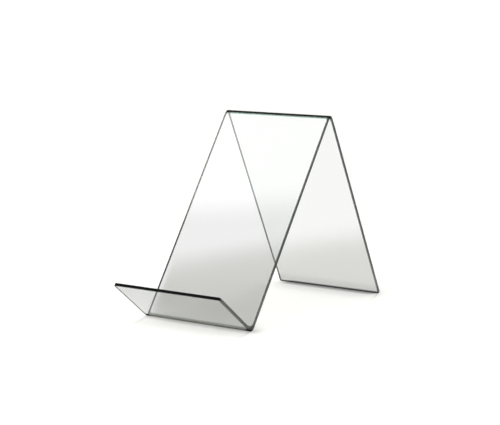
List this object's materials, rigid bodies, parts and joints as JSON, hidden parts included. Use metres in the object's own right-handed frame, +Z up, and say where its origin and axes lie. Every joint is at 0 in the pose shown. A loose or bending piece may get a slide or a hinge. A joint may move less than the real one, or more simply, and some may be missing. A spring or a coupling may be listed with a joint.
{
  "type": "photo album stand",
  "caption": "Clear acrylic album stand bent from a sheet, with a leaning front panel, an upturned front lip and a rear prop panel.",
  "frame": {"origin": "on the table, under the middle of the stand's overall box", "axes": "+Z up, the album and the lip face -Y, the rear panel is towards +Y, X runs across the sheet"},
  "size_m": [0.125, 0.2796, 0.1924],
  "materials": {
    "clear_acrylic": "clear, colourless, polished"
  },
  "bodies": {
    "root": {"bent_acrylic_sheet": "clear_acrylic"}
  },
  "joints": []
}
